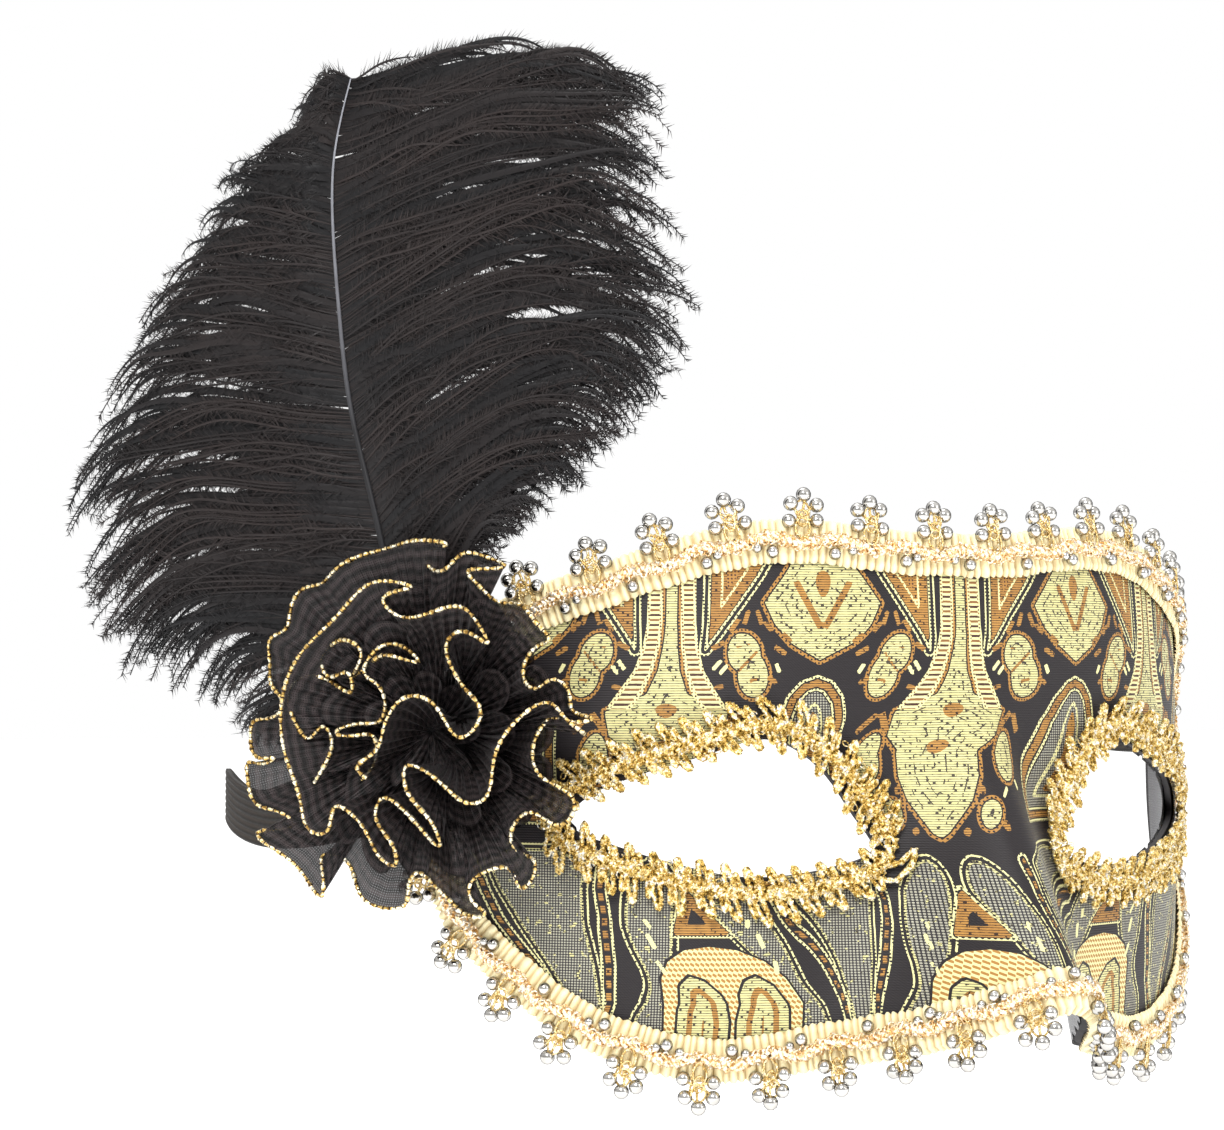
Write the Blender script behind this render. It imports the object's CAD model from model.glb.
"""Looks of the venetian half mask: brocade, gimp braid, bead clusters, gold eye braid,
organza rosette, ostrich plume and elastic strap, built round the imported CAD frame.

Shapes are worked out in millimetres in the part's own frame, and every mesh is scaled
to metres when it is made. The face's dimensions are the ones that the part is built from.
"""

from math import cos, pi, radians, sin

import bpy
import numpy as np
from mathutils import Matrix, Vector


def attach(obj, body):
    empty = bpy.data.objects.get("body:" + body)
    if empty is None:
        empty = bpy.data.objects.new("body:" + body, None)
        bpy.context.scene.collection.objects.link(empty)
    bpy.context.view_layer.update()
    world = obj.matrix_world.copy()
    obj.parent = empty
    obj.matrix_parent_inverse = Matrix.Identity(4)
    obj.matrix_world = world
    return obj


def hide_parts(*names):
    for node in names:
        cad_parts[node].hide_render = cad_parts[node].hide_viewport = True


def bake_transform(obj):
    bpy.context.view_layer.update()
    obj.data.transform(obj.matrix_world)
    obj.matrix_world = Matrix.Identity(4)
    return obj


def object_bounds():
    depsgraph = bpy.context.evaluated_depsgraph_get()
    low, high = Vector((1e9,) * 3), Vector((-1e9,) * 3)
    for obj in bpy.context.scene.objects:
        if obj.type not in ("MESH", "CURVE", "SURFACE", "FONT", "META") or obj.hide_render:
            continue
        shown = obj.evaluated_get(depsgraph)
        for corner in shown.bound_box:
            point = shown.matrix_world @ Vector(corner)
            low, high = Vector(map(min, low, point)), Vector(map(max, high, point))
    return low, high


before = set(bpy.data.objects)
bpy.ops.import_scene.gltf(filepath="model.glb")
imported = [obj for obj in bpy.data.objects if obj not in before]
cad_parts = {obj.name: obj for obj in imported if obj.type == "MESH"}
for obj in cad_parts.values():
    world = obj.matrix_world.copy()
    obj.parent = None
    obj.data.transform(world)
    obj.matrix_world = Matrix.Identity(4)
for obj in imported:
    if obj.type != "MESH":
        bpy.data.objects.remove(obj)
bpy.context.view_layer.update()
random = np.random.default_rng(11)

MM = 0.001

# ---- The part's driving dimensions, millimetres -------------------------------------------

HALF_WIDTH = 86.0
WRAP_DEPTH = 83.0
WRAP_POWER = 2.13
SHELL_THICKNESS = 1.2
COVER_THICKNESS = 0.5
LINING_THICKNESS = 0.5
RIDGE_TOP = 20.0
RIDGE_SLOPE = 0.6
RIDGE_BLEND = 3.0
NOSE_HALF_WIDTH = 11.5
NOSE_WIDENING = 0.2

OUTLINE_HALF = [
    (0, 46.6), (14, 47.2), (28, 48.4), (40, 47.8), (51, 44.4), (61, 40.4), (70, 36.0), (76.5, 29.5),
    (79.4, 19), (80, 6), (79.2, -9), (76.8, -20), (72, -28.5), (64.5, -36.5), (55, -41.9),
    (44, -44.2), (33, -43), (22, -40.6), (13, -37), (6, -33.1), (0, -31),
]
EYE_OUTLINE = [
    (64.6, -0.9), (60.6, 3.6), (53, 7.2), (44, 10.4), (36, 12.4), (30, 9.9), (25, 4.9),
    (20.8, -1.4), (18.4, -6.3), (23, -8.7), (32, -10.5), (41, -10.7), (51, -8.3), (60.6, -4.6),
]
BRAID_WIDTH = 7.4
BRAID_PROUD = 1.2
EYE_BRAID_WIDTH = 6.0
BEAD_RADIUS = 1.25
CLUSTER_PITCH = 12.0

SIDE_ANGLE = radians(52.0)
SIDE_NORMAL = np.array([-sin(SIDE_ANGLE), -cos(SIDE_ANGLE), 0.0])
SIDE_POINT = np.array([-76.2, 38.4, 14.0])
ROSETTE_SHIFT = -4.0
QUILL_HEIGHT = 4.6

STRAP_ROUTE = [
    (-81.1, 63.8, 0), (-85.2, 80, -2.2), (-87.6, 102, -3.4), (-86.2, 120, -1.2), (-80.6, 136, 0.2),
    (-70, 149.5, -4.2), (-52, 161, -1), (-28, 170, 10), (2, 174, 19.5), (34, 168.5, 24),
    (62, 153, 23), (78, 131, 20), (85.2, 104, 17), (84.8, 81, 14.5), (81.1, 63.8, 13.5),
]
STRAP_WIDTH = 10.0
STRAP_THICKNESS = 1.1
STRAP_END_HEIGHTS = {-1: 0.0, 1: 13.5}
STRAP_RIBS = 8

# ---- The face surface -----------------------------------------------------------------------


def face_depth(x, z):
    """The y of the shell's outer face at x and z."""
    share = np.minimum(np.abs(x) / HALF_WIDTH, 0.9999)
    wrap = WRAP_DEPTH * (1 - (1 - share**WRAP_POWER) ** (1 / WRAP_POWER))
    lean = 0.0025 * np.maximum(z - 15, 0) ** 2 + 0.002 * np.maximum(-z - 10, 0) ** 2
    ridge = RIDGE_SLOPE * RIDGE_BLEND * np.log1p(np.exp((RIDGE_TOP - z) / RIDGE_BLEND))
    width = np.maximum(9.0, NOSE_HALF_WIDTH - NOSE_WIDENING * z)
    return wrap + lean - ridge * np.exp(-1.3 * (x / width) ** 2)


def face_slopes(x, z):
    """How fast the face's y changes with x and with z."""
    step = 0.01
    along_x = (face_depth(x + step, z) - face_depth(x - step, z)) / (2 * step)
    along_z = (face_depth(x, z + step) - face_depth(x, z - step)) / (2 * step)
    return along_x, along_z


def face_normals(x, z):
    """Outward unit normals of the face at x and z."""
    along_x, along_z = face_slopes(x, z)
    normals = np.stack([along_x, -np.ones_like(along_x), along_z], axis=-1)
    return normals / np.linalg.norm(normals, axis=-1, keepdims=True)


def lifted(x, z, lift):
    """Points at a height above the face."""
    points = np.stack([x, face_depth(x, z), z], axis=-1)
    return points + face_normals(x, z) * np.asarray(lift)[..., None]


def dropped(points, lift):
    """Points moved to the nearest place on the face, then lifted above it."""
    points = points.copy()
    for _ in range(3):
        x, y, z = points[..., 0], points[..., 1], points[..., 2]
        x = np.clip(x, -HALF_WIDTH + 0.3, HALF_WIDTH - 0.3)
        along_x, along_z = face_slopes(x, z)
        gradient = np.stack([-along_x, np.ones_like(along_x), -along_z], axis=-1)
        error = (y - face_depth(x, z)) / (gradient**2).sum(-1)
        points = np.stack([x, y, z], axis=-1) - gradient * error[..., None]
    return lifted(points[..., 0], points[..., 2], lift)


# Distance round the plain wrap, without the nose, against x.
WRAP_X = HALF_WIDTH * np.sin(np.linspace(0, 0.493 * pi, 900)) ** (2 / WRAP_POWER)
WRAP_Y = WRAP_DEPTH * (1 - (1 - (WRAP_X / HALF_WIDTH) ** WRAP_POWER) ** (1 / WRAP_POWER))
WRAP_S = np.concatenate([[0], np.cumsum(np.hypot(np.diff(WRAP_X), np.diff(WRAP_Y)))])


def wrap_length(x):
    """Distance round the wrap from the middle to x."""
    return np.sign(x) * np.interp(np.abs(x), WRAP_X, WRAP_S)


def wrap_x(s):
    """The x at a distance s round the wrap."""
    return np.sign(s) * np.interp(np.abs(s), WRAP_S, WRAP_X)


# ---- Curves -----------------------------------------------------------------------------------


def spline_slopes(knots, points, closed):
    """Slopes of the smooth cubic through the points at their knots."""
    count = len(points)
    gaps = np.diff(knots)
    system = np.zeros((count, count))
    right = np.zeros_like(points)
    for i in range(count):
        before, after = gaps[i - 1] if i or closed else 0, gaps[i] if i < len(gaps) else 0
        if closed or 0 < i < count - 1:
            system[i, i - 1] = after
            system[i, i] = 2 * (before + after)
            system[i, (i + 1) % count] = before
            step_on = (points[(i + 1) % count] - points[i]) / after
            step_back = (points[i] - points[i - 1]) / before
            right[i] = 3 * (before * step_on + after * step_back)
        else:
            other = 1 if i == 0 else count - 2
            gap = gaps[0] if i == 0 else gaps[-1]
            system[i, i], system[i, other] = 2, 1
            right[i] = 3 * (points[max(i, other)] - points[min(i, other)]) / gap
    return np.linalg.solve(system, right)


def smooth_curve(points, count, closed=False):
    """Points evenly along the smooth cubic through the given points. A closed curve's
    last point is one step before its first."""
    points = np.array(points, float)
    ring = np.vstack([points, points[:1]]) if closed else points
    knots = np.concatenate([[0], np.cumsum(np.linalg.norm(np.diff(ring, axis=0), axis=1))])
    slopes = spline_slopes(knots, points, closed)
    if closed:
        slopes = np.vstack([slopes, slopes[:1]])
    fine = np.linspace(0, knots[-1], 24 * len(ring))
    index = np.clip(np.searchsorted(knots, fine, side="right") - 1, 0, len(knots) - 2)
    gap = (knots[index + 1] - knots[index])[:, None]
    t = (fine[:, None] - knots[index][:, None]) / gap
    curve = (
        (1 + 2 * t) * (1 - t) ** 2 * ring[index] + t * (1 - t) ** 2 * gap * slopes[index]
        + t**2 * (3 - 2 * t) * ring[index + 1] - t**2 * (1 - t) * gap * slopes[index + 1]
    )
    return evenly(curve, count, closed)


def evenly(curve, count, closed=False):
    """Count points evenly along a fine polyline whose ends meet if it is closed."""
    lengths = np.concatenate([[0], np.cumsum(np.linalg.norm(np.diff(curve, axis=0), axis=1))])
    places = np.linspace(0, lengths[-1], count, endpoint=not closed)
    return np.stack([np.interp(places, lengths, curve[:, k]) for k in range(curve.shape[1])], axis=1)


def curve_length(curve, closed=False):
    ring = np.vstack([curve, curve[:1]]) if closed else curve
    return np.linalg.norm(np.diff(ring, axis=0), axis=1).sum()


def signed_distance(x, z, polygon):
    """Distance to a closed polygon, negative inside it. The polygon is an (n, 2) array."""
    best = np.full(x.shape, 1e9)
    inside = np.zeros(x.shape, bool)
    for (ax, az), (bx, bz) in zip(polygon, np.roll(polygon, -1, axis=0)):
        dx, dz = bx - ax, bz - az
        t = np.clip(((x - ax) * dx + (z - az) * dz) / max(dx * dx + dz * dz, 1e-12), 0, 1)
        best = np.minimum(best, (x - ax - t * dx) ** 2 + (z - az - t * dz) ** 2)
        crosses = (az > z) != (bz > z)
        if bz != az:
            inside ^= crosses & (x < ax + (z - az) * dx / dz)
    return np.where(inside, -1, 1) * np.sqrt(best)


def line_distance(x, z, points):
    """Distance to an open line of points."""
    best = np.full(x.shape, 1e9)
    for (ax, az), (bx, bz) in zip(points[:-1], points[1:]):
        dx, dz = bx - ax, bz - az
        t = np.clip(((x - ax) * dx + (z - az) * dz) / max(dx * dx + dz * dz, 1e-12), 0, 1)
        best = np.minimum(best, (x - ax - t * dx) ** 2 + (z - az - t * dz) ** 2)
    return np.sqrt(best)


# ---- Mesh building ------------------------------------------------------------------------------


def mesh_piece(name, points, faces, material, body="root", slot=None, replaces=(), uv=None,
               floats=None, smooth=True):
    """A mesh object from points in millimetres. uv and the floats are given per point.
    A piece with no body is left for the caller to blend."""
    mesh = bpy.data.meshes.new(name)
    faces = [np.asarray(part) for part in (faces if isinstance(faces, list) else [faces])]
    mesh.vertices.add(len(points))
    mesh.vertices.foreach_set("co", (np.asarray(points, float) * MM).astype(np.float32).ravel())
    corners = np.concatenate([part.ravel() for part in faces]).astype(np.int32)
    sizes = np.concatenate([np.full(len(part), part.shape[1]) for part in faces]).astype(np.int32)
    mesh.loops.add(len(corners))
    mesh.loops.foreach_set("vertex_index", corners)
    mesh.polygons.add(len(sizes))
    mesh.polygons.foreach_set("loop_start", np.concatenate([[0], np.cumsum(sizes)[:-1]]).astype(np.int32))
    mesh.polygons.foreach_set("loop_total", sizes)
    if uv is not None:
        layer = mesh.uv_layers.new(name="UVMap")
        layer.data.foreach_set("uv", np.asarray(uv)[corners].astype(np.float32).ravel())
    for key, values in (floats or {}).items():
        mesh.attributes.new(key, "FLOAT", "POINT").data.foreach_set("value", values.astype(np.float32))
    mesh.polygons.foreach_set("use_smooth", np.full(len(sizes), smooth))
    mesh.update(calc_edges=True)
    mesh.validate()
    mesh.materials.append(material)
    piece = bpy.data.objects.new(name, mesh)
    bpy.context.collection.objects.link(piece)
    if body:
        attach(piece, body)
    if replaces:
        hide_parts(*replaces)
    return piece


def grid_faces(rows, columns, wrap_rows=False, wrap_columns=False):
    """Quads of a grid of points numbered row by row."""
    i = np.arange(rows if wrap_rows else rows - 1)[:, None]
    j = np.arange(columns if wrap_columns else columns - 1)[None, :]
    i2, j2 = (i + 1) % rows, (j + 1) % columns
    a, b, c, d = i * columns + j, i2 * columns + j, i2 * columns + j2, i * columns + j2
    return np.stack([part.ravel() for part in np.broadcast_arrays(a, b, c, d)], axis=1)


class Gather:
    """Collects parts of one mesh."""

    def __init__(self):
        self.points, self.quads, self.triangles, self.uv, self.floats = [], [], [], [], {}
        self.count = 0

    def add(self, points, quads=None, triangles=None, uv=None, **floats):
        points = np.asarray(points, float).reshape(-1, 3)
        if quads is not None:
            self.quads.append(np.asarray(quads) + self.count)
        if triangles is not None:
            self.triangles.append(np.asarray(triangles) + self.count)
        self.points.append(points)
        self.uv.append(np.zeros((len(points), 2)) if uv is None else np.asarray(uv).reshape(-1, 2))
        for key, value in floats.items():
            self.floats.setdefault(key, []).append(np.broadcast_to(value, (len(points),)))
        self.count += len(points)

    def piece(self, name, material, **options):
        faces = [np.vstack(part) for part in (self.quads, self.triangles) if part]
        floats = {key: np.concatenate(parts) for key, parts in self.floats.items()}
        return mesh_piece(name, np.vstack(self.points), faces, material,
                          uv=np.vstack(self.uv), floats=floats, **options)


def path_frames(path, closed=False, up=None):
    """Tangents and two side directions along a path. up fixes the first side direction."""
    after = np.roll(path, -1, axis=0)
    before = np.roll(path, 1, axis=0)
    if not closed:
        after[-1], before[0] = path[-1], path[0]
    tangents = after - before
    tangents /= np.linalg.norm(tangents, axis=1, keepdims=True) + 1e-12
    if up is None:
        sides = np.zeros_like(path)
        guess = np.array([0.0, 0.0, 1.0]) if abs(tangents[0][2]) < 0.9 else np.array([1.0, 0.0, 0.0])
        for i, tangent in enumerate(tangents):
            guess = guess - tangent * guess.dot(tangent)
            guess /= np.linalg.norm(guess) + 1e-12
            sides[i] = guess
    else:
        sides = up - tangents * (up * tangents).sum(1, keepdims=True)
        sides /= np.linalg.norm(sides, axis=1, keepdims=True) + 1e-12
    return tangents, sides, np.cross(tangents, sides)


def add_tube(gather, path, radius, sides=6, closed=False, up=None, flat=1.0, **floats):
    """A tube along a path. flat squeezes it along its first side direction."""
    path = np.asarray(path, float)
    _, first, second = path_frames(path, closed, up)
    angle = np.linspace(0, 2 * pi, sides, endpoint=False)
    radius = np.broadcast_to(radius, (len(path),))[:, None, None]
    ring = (first[:, None] * np.cos(angle)[None, :, None] * flat
            + second[:, None] * np.sin(angle)[None, :, None])
    points = path[:, None] + ring * radius
    length = np.concatenate([[0], np.cumsum(np.linalg.norm(np.diff(path, axis=0), axis=1))])
    uv = np.stack(np.broadcast_arrays(length[:, None], (angle / (2 * pi))[None, :]), axis=-1)
    gather.add(points, grid_faces(len(path), sides, closed, True), uv=uv, **floats)


def add_twist(gather, path, closed, strands, spread, radius, pitch, up=None, sides=5, **floats):
    """Strands twisted round a path, like a cord."""
    _, first, second = path_frames(path, closed, up)
    length = np.concatenate([[0], np.cumsum(np.linalg.norm(np.diff(path, axis=0), axis=1))])
    if closed:
        total = length[-1] + np.linalg.norm(path[0] - path[-1])
        pitch = total / round(total / pitch)
    for k in range(strands):
        turn = (2 * pi * (length / pitch + k / strands))[:, None]
        strand = path + spread * (first * np.cos(turn) + second * np.sin(turn))
        add_tube(gather, strand, radius, sides, closed, **floats)


def ball(rings=7, sides=12):
    """Points and faces of a unit ball."""
    polar = np.linspace(0, pi, rings + 1)[1:-1]
    angle = np.linspace(0, 2 * pi, sides, endpoint=False)
    body = np.stack([
        np.outer(np.sin(polar), np.cos(angle)), np.outer(np.sin(polar), np.sin(angle)),
        np.broadcast_to(np.cos(polar)[:, None], (rings - 1, sides)),
    ], axis=-1).reshape(-1, 3)
    points = np.vstack([body, [[0, 0, 1], [0, 0, -1]]])
    quads = grid_faces(rings - 1, sides, False, True)
    j = np.arange(sides)
    top, bottom = len(body), len(body) + 1
    last = (rings - 2) * sides
    triangles = np.vstack([
        np.stack([np.full(sides, top), j, (j + 1) % sides], axis=1),
        np.stack([np.full(sides, bottom), last + (j + 1) % sides, last + j], axis=1),
    ])
    return points, quads, triangles


def side(u, v, h):
    """Points of the rosette's and the plume's side plane: across, up and outwards."""
    u, v, h = np.broadcast_arrays(np.asarray(u, float), v, h)
    return np.stack([
        SIDE_POINT[0] + u * cos(SIDE_ANGLE) - h * sin(SIDE_ANGLE),
        SIDE_POINT[1] - u * sin(SIDE_ANGLE) - h * cos(SIDE_ANGLE),
        SIDE_POINT[2] + v,
    ], axis=-1)


# ---- Materials ----------------------------------------------------------------------------------


class Finish:
    """A node material, with short ways to make its nodes."""

    def __init__(self, name, **constants):
        self.material = bpy.data.materials.new(name)
        self.material.use_nodes = True
        self.tree = self.material.node_tree
        self.shader = self.tree.nodes["Principled BSDF"]
        for key, value in constants.items():
            socket = SOCKETS.get(key, key.replace("_", " ").capitalize())
            self.shader.inputs[socket].default_value = value

    def node(self, kind, **settings):
        made = self.tree.nodes.new("ShaderNode" + kind)
        for key, value in settings.items():
            setattr(made, key, value)
        return made

    def set(self, socket, value):
        if hasattr(value, "is_output"):
            self.tree.links.new(value, socket)
        else:
            socket.default_value = value

    def math(self, operation, *values):
        made = self.node("Math", operation=operation)
        for socket, value in zip(made.inputs, values):
            self.set(socket, value)
        return made.outputs[0]

    def mix(self, share, low, high):
        made = self.node("Mix", data_type="RGBA")
        for index, value in ((0, share), (6, low), (7, high)):
            self.set(made.inputs[index], value)
        return made.outputs[2]

    def field(self, name):
        return self.node("Attribute", attribute_name=name).outputs["Fac"]

    def uv(self):
        made = self.node("SeparateXYZ")
        self.tree.links.new(self.node("UVMap").outputs[0], made.inputs[0])
        return made.outputs[0], made.outputs[1]

    def noise(self, scale, detail=3.0, rough=0.55):
        made = self.node("TexNoise")
        made.inputs["Scale"].default_value = scale
        made.inputs["Detail"].default_value = detail
        made.inputs["Roughness"].default_value = rough
        self.tree.links.new(self.node("TexCoord").outputs["Object"], made.inputs["Vector"])
        return made.outputs[0]

    def ramp(self, value, stops):
        made = self.node("ValToRGB")
        made.color_ramp.elements.remove(made.color_ramp.elements[1])
        made.color_ramp.elements[0].position, made.color_ramp.elements[0].color = stops[0]
        for place, colour in stops[1:]:
            made.color_ramp.elements.new(place).color = colour
        self.set(made.inputs[0], value)
        return made.outputs[0]

    def wave(self, value, pitch):
        """A wave from 0 to 1 along value."""
        turned = self.math("MULTIPLY", value, 2 * pi / pitch)
        return self.math("MULTIPLY_ADD", self.math("SINE", turned), 0.5, 0.5)

    def bump(self, height, distance, strength=1.0):
        made = self.node("Bump")
        made.inputs["Distance"].default_value = distance
        made.inputs["Strength"].default_value = strength
        self.set(made.inputs["Height"], height)
        self.tree.links.new(made.outputs[0], self.shader.inputs["Normal"])

    def colour(self, value):
        self.set(self.shader.inputs["Base Color"], value)
        return self.material

    def rough(self, value):
        self.set(self.shader.inputs["Roughness"], value)


SOCKETS = {
    "sheen": "Sheen Weight", "sheen_roughness": "Sheen Roughness",
    "specular": "Specular IOR Level", "tint": "Specular Tint",
}


def rgb(text):
    """A linear colour from a hex string."""
    parts = [int(text[i : i + 2], 16) / 255 for i in (0, 2, 4)]
    return tuple(c / 12.92 if c <= 0.04045 else ((c + 0.055) / 1.055) ** 2.4 for c in parts) + (1.0,)


def brocade_finish():
    """Jacquard brocade. Each woven figure is a distance field, cut into bands of thread."""
    cloth = Finish("brocade", sheen=0.04, sheen_roughness=0.4, specular=0.35)
    across, up = cloth.uv()
    m = cloth.math
    ground, cream, copper, maroon, grey = (
        rgb("141012"), rgb("e2dca0"), rgb("a97a3a"), rgb("44261f"), rgb("b9b7a4")
    )

    # Threads: horizontal weft floats with dark gaps, tied down in a brick order.
    row = m("FLOOR", m("DIVIDE", up, WEFT_PITCH))
    weft = m("FRACT", m("DIVIDE", up, WEFT_PITCH))
    weft_edge = m("ABSOLUTE", m("SUBTRACT", weft, 0.5))
    brick = m("FRACT", m("DIVIDE", m("MULTIPLY_ADD", row, 0.83, across), 2.6))
    tie = m("LESS_THAN", brick, 0.16)
    speck = cloth.noise(900.0, 2.0)
    gap = m("GREATER_THAN", m("MULTIPLY_ADD", speck, 0.26, weft_edge), 0.49)
    dark_thread = m("MAXIMUM", gap, m("MULTIPLY", tie, m("GREATER_THAN", speck, 0.52)))
    checker = m("ADD", cloth.wave(across, 0.62), cloth.wave(up, 0.62))
    dotted = m("GREATER_THAN", checker, 0.62)
    screen = m("GREATER_THAN", m("MULTIPLY", cloth.wave(up, 0.45), cloth.wave(across, 0.5)), 0.22)
    shade = cloth.noise(260.0, 3.0)

    cream_thread = cloth.mix(dark_thread, cloth.mix(shade, rgb("cfc787"), cream), rgb("453f31"))
    copper_thread = cloth.mix(dark_thread, cloth.mix(shade, rgb("8d602c"), rgb("c8954a")), rgb("35200f"))
    mesh_thread = cloth.mix(screen, rgb("2b282a"), cloth.mix(shade, rgb("8f8c7e"), grey))
    maroon_thread = cloth.mix(dotted, maroon, copper)
    twill = cloth.wave(m("MULTIPLY_ADD", up, 1.0, across), 0.5)
    base = cloth.mix(m("MULTIPLY", twill, 0.5), ground, rgb("2c2427"))

    def inside(name, edge=0.0):
        return m("LESS_THAN", cloth.field(name), edge)

    def band(name, low, high):
        return m("COMPARE", cloth.field(name), (low + high) / 2, (high - low) / 2)

    def dots(mask):
        return m("MULTIPLY", mask, dotted)

    layers = [
        (inside("mesh"), mesh_thread),
        (dots(band("mesh", -0.1, 0.4)), cream_thread),
        (dots(band("mesh", 0.95, 1.3)), cream),
        (m("MULTIPLY", inside("mesh", -0.6), m("GREATER_THAN", cloth.noise(900.0, 1.0), 0.66)), cream_thread),
        (dots(band("stripe", 0.8, 1.25)), cream),
        (m("MULTIPLY", band("stripe", -0.1, 0.42), m("GREATER_THAN", cloth.wave(up, 2.1), 0.35)),
         copper_thread),
        (inside("arch"), base),
        (dots(band("arch", -0.35, 0.1)), cream),
        (band("arch", -1.7, -0.6), copper_thread),
        (dots(band("arch", -2.3, -1.95)), cream),
        (inside("arch", -2.5), mesh_thread),
        (dots(band("arch", -4.5, -4.05)), cream),
        (inside("arch", -5.1), copper_thread),
        (dots(band("petal_leaf", 0.75, 1.1)), cream),
        (dots(band("petal_leaf", -0.2, 0.2)), cream),
        (inside("petal_leaf", -0.35), copper_thread),
        (dots(band("petal_leaf", -2.3, -1.9)), cream),
        (inside("petal_leaf", -2.9), maroon_thread),
        (dots(band("triangle", 0.0, 0.35)), cream),
        (band("triangle", -1.9, -0.15), copper_thread),
        (inside("dome"),
         cloth.mix(m("GREATER_THAN",
                     m("ADD", cloth.wave(m("MULTIPLY_ADD", up, 0.7, across), 0.85), cloth.wave(up, 0.9)),
                     0.95), copper, cream)),
        (band("dome", -0.4, 0.0), base),
        (band("petals", 0.0, 0.45), base),
        (inside("petals"), cream_thread),
        (m("MULTIPLY", inside("petals", -0.3),
           m("LESS_THAN", m("FRACT", m("DIVIDE", cloth.field("petals"), 2.5)), 0.38)), copper_thread),
        (dots(band("cream", 0.25, 0.8)), copper),
        (inside("cream"), cream_thread),
        (m("MULTIPLY", inside("cream", -0.7),
           m("MULTIPLY", m("LESS_THAN", m("FRACT", m("DIVIDE", cloth.field("cream"), 1.55)), 0.13),
             m("GREATER_THAN", speck, 0.5))), rgb("3a352c")),
        (inside("copper"), copper_thread),
        (inside("dash"), cream),
        (band("ladder", -0.1, 1.1),
         cloth.mix(m("GREATER_THAN", cloth.wave(up, 1.68), 0.5), maroon, rgb("8a5f34"))),
        (m("MULTIPLY", band("ladder", 0.1, 0.9),
           m("GREATER_THAN", m("MULTIPLY_ADD", speck, 0.5, cloth.wave(up, 0.84)), 0.72)), cream),
        (dots(band("ladder", -0.12, 0.12)), cream),
        (dots(band("ladder", 0.88, 1.12)), cream),
    ]
    colour = base
    for mask, thread in layers:
        colour = cloth.mix(mask, colour, thread)
    bright = cloth.node("RGBToBW")
    cloth.set(bright.inputs[0], colour)
    cloth.rough(m("MULTIPLY_ADD", bright.outputs[0], -0.12, 0.52))
    height = m("MULTIPLY_ADD", bright.outputs[0], 0.6, m("MULTIPLY", m("SUBTRACT", 0.5, weft_edge), 0.8))
    cloth.bump(height, 0.00022, 0.55)
    return cloth.colour(colour)


WEFT_PITCH = 0.42


def thread_finish(name, colours, pitch, metallic=0.0, roughness=0.5, depth=0.00012, noise=700.0, **more):
    """Twisted thread: a fine slanting bump along the uv's length, and colour that sparkles
    from the first of the colours to the last."""
    thread = Finish(name, metallic=metallic, **more)
    along, turn = thread.uv()
    twist = thread.wave(thread.math("MULTIPLY_ADD", turn, pitch, along), pitch)
    spots = thread.noise(noise, 3.0, 0.7)
    stops = [(0.36 + 0.28 * k / (len(colours) - 1), rgb(colour)) for k, colour in enumerate(colours)]
    thread.rough(thread.math("MULTIPLY_ADD", spots, 0.25, roughness - 0.12))
    thread.bump(thread.math("MULTIPLY_ADD", spots, 0.8, twist), depth, 0.8)
    return thread.colour(thread.ramp(spots, stops))


def shell_finish():
    """Pressed black card with faint fibres."""
    card = Finish("shell_card")
    fibres = card.noise(350.0, 6.0, 0.7)
    card.rough(card.math("MULTIPLY_ADD", fibres, 0.2, 0.65))
    card.bump(fibres, 0.0003, 0.5)
    return card.colour(card.mix(fibres, rgb("131012"), rgb("2b2628")))


def lining_finish():
    """Black satin lining with a fine weave."""
    cloth = Finish("lining_satin", sheen=0.4, sheen_roughness=0.35)
    across, up = cloth.uv()
    weave = cloth.math("MULTIPLY", cloth.wave(across, 0.5), cloth.wave(up, 0.5))
    cloud = cloth.noise(60.0, 4.0)
    cloth.rough(cloth.math("MULTIPLY_ADD", cloud, 0.15, 0.42))
    cloth.bump(weave, 0.00015, 0.5)
    return cloth.colour(cloth.mix(cloud, rgb("17141a"), rgb("2a242c")))


def gimp_finish():
    """Cream gimp yarn. The grooves between the ribs are deeper yellow."""
    yarn = Finish("gimp_yarn", sheen=0.35, sheen_roughness=0.5)
    along, _ = yarn.uv()
    groove = yarn.field("groove")
    fibre = yarn.wave(along, 0.22)
    spots = yarn.noise(1200.0, 3.0)
    colour = yarn.mix(groove, rgb("fff2bf"), rgb("b88f35"))
    colour = yarn.mix(yarn.math("MULTIPLY", spots, 0.3), colour, rgb("fffbe6"))
    yarn.rough(yarn.math("MULTIPLY_ADD", spots, 0.2, 0.55))
    yarn.bump(yarn.math("MULTIPLY_ADD", fibre, 0.6, spots), 0.0001, 0.6)
    return yarn.colour(colour)


def silver_finish():
    """Bright plated bead with slight tarnish."""
    metal = Finish("bead_silver", metallic=1.0, tint=(0.02, 0.02, 0.03, 1.0))
    spots = metal.noise(500.0, 2.0)
    metal.rough(metal.math("MULTIPLY_ADD", spots, 0.12, 0.06))
    return metal.colour(metal.mix(spots, rgb("a9a6a0"), rgb("e4e2de")))


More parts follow.
